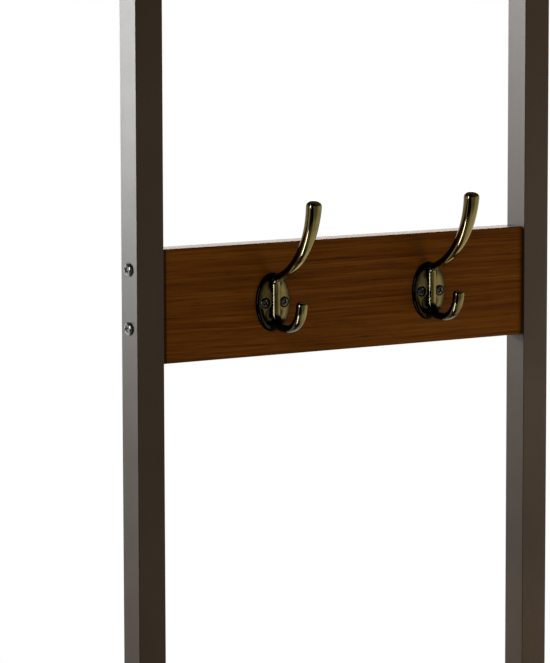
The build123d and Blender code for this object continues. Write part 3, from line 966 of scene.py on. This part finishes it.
hookStrip = {"glow": 15.0, "tint": (0.44, 0.53, 1.0), "lights": "mirrored", "only": hooks}
rearPanel = {"aim": (-0.1, 0.15, 1.45), "size": (0.7, 0.42)}
panelLow = (-1.75, 2.0, 1.53)
panelHigh = (-1.60, 2.03, 2.1)
lampPlan = {
    "leftStripLow": {**hookStrip, "at": (-2.1, -0.03, -0.9), "aim": (0.0, -0.03, -0.9), "size": (0.38, 2.4)},
    "leftStripHigh": {**hookStrip, "at": (-2.1, -0.03, 1.85), "aim": (0.0, -0.03, 1.85), "size": (0.38, 1.4)},
    "rearLeft": {**rearPanel, "at": panelLow, "glow": 30.0, "only": leftPost},
    "rearHigh": {**rearPanel, "at": panelHigh, "glow": 66.0, "only": leftPost},
    "rearLeftFar": {**rearPanel, "at": panelLow, "glow": 16.0, "only": rightPost},
    "rearHighFar": {**rearPanel, "at": panelHigh, "glow": 74.0, "only": rightPost},
    "rearRight": {"at": (1.7, 2.7, 1.95), "aim": (0.0, 0.15, 1.45), "size": (1.8, 0.8), "glow": 3.5,
                  "tint": (1.0, 0.89, 0.82)},
    "boltGlint": {"at": (-2.2, 0.0, 1.95), "aim": (-0.2, 0.15, 1.45), "size": (0.7, 1.0), "glow": 3.0,
                  "lights": "mirrored", "only": bolts},
    "overhead": {"at": (-1.1, -1.7, 3.1), "aim": (0.0, 0.1, 1.3), "size": (0.9, 0.9), "glow": 3.0,
                 "lights": "diffuse"},
    "boardKey": {"at": (-1.9, -1.5, 1.75), "aim": (0.0, 0.15, 1.4), "size": (2.2, 2.2), "glow": 1.9,
                 "lights": "diffuse", "only": boards},
    "boardLow": {"at": (0.40, -0.35, 1.05), "aim": (0.0, 0.15, 1.42), "size": (0.4, 0.4), "glow": 5.6,
                 "lights": "diffuse", "only": boards},
    "lowRight": {"at": (0.6, -0.55, 1.2), "aim": (0.1, 0.15, 1.3), "size": (0.4, 0.4), "glow": 13.5,
                 "lights": "diffuse", "only": posts},
    "rearFill": {"at": (1.0, 3.0, 1.7), "aim": (0.0, 0.0, 0.9), "size": (1.4, 1.4), "glow": 2.6,
                 "lights": "diffuse"},
}


# A lamp's power is its glow times its area times pi, so that its face shines as a surface of that value does.
def addLamp(name, plan):
    lamp = bpy.data.lights.new(name, "AREA")
    lamp.shape = "RECTANGLE"
    lamp.size, lamp.size_y = plan["size"]
    lamp.color = plan.get("tint", (1, 1, 1))
    lamp.energy = plan["glow"] * plan["size"][0] * plan["size"][1] * math.pi
    holder = bpy.data.objects.new(name, lamp)
    bpy.context.collection.objects.link(holder)
    away = np.array(plan["at"]) - np.array(plan["aim"])
    away = away / np.linalg.norm(away)
    across = np.cross((0, 0, 1), away)
    across = across / np.linalg.norm(across)
    turned = np.column_stack([across, np.cross(away, across), away])
    holder.matrix_world = Matrix.Translation(plan["at"]) @ Matrix(turned.tolist()).to_4x4()
    holder.visible_camera = False
    holder.visible_glossy = plan.get("lights") != "diffuse"
    holder.visible_diffuse = plan.get("lights") != "mirrored"
    if "only" in plan:
        holder.light_linking.receiver_collection = plan["only"]


for name, plan in lampPlan.items():
    addLamp(name, plan)

cameraView = {
    "at": (-1.6967, -2.3779, 1.7857), "yaw": 32.750, "pitch": 6.951, "roll": 0.132,  # metres and degrees
    "lens": 199.92, "sensor": 36.0, "farEnd": 100.0,
}


# Yaw turns the view from +y towards +x, pitch tips it down, and roll turns the picture about its middle.
def addCamera():
    yaw, pitch, roll = (math.radians(cameraView[key]) for key in ("yaw", "pitch", "roll"))
    ahead = np.array([math.sin(yaw) * math.cos(pitch), math.cos(yaw) * math.cos(pitch), -math.sin(pitch)])
    right = np.array([math.cos(yaw), -math.sin(yaw), 0.0])
    down = np.cross(ahead, right)
    rolledRight = math.cos(roll) * right + math.sin(roll) * down
    rolledDown = math.cos(roll) * down - math.sin(roll) * right
    turned = np.column_stack([rolledRight, -rolledDown, -ahead])
    data = bpy.data.cameras.new("photoView")
    data.lens = cameraView["lens"]
    data.sensor_width = cameraView["sensor"]
    data.sensor_fit = "AUTO"
    data.clip_end = cameraView["farEnd"]
    camera = bpy.data.objects.new("photoView", data)
    bpy.context.collection.objects.link(camera)
    camera.matrix_world = Matrix.Translation(cameraView["at"]) @ Matrix(turned.tolist()).to_4x4()
    bpy.context.scene.camera = camera


addCamera()
bpy.context.scene.view_settings.view_transform = "Standard"
print("studio set")
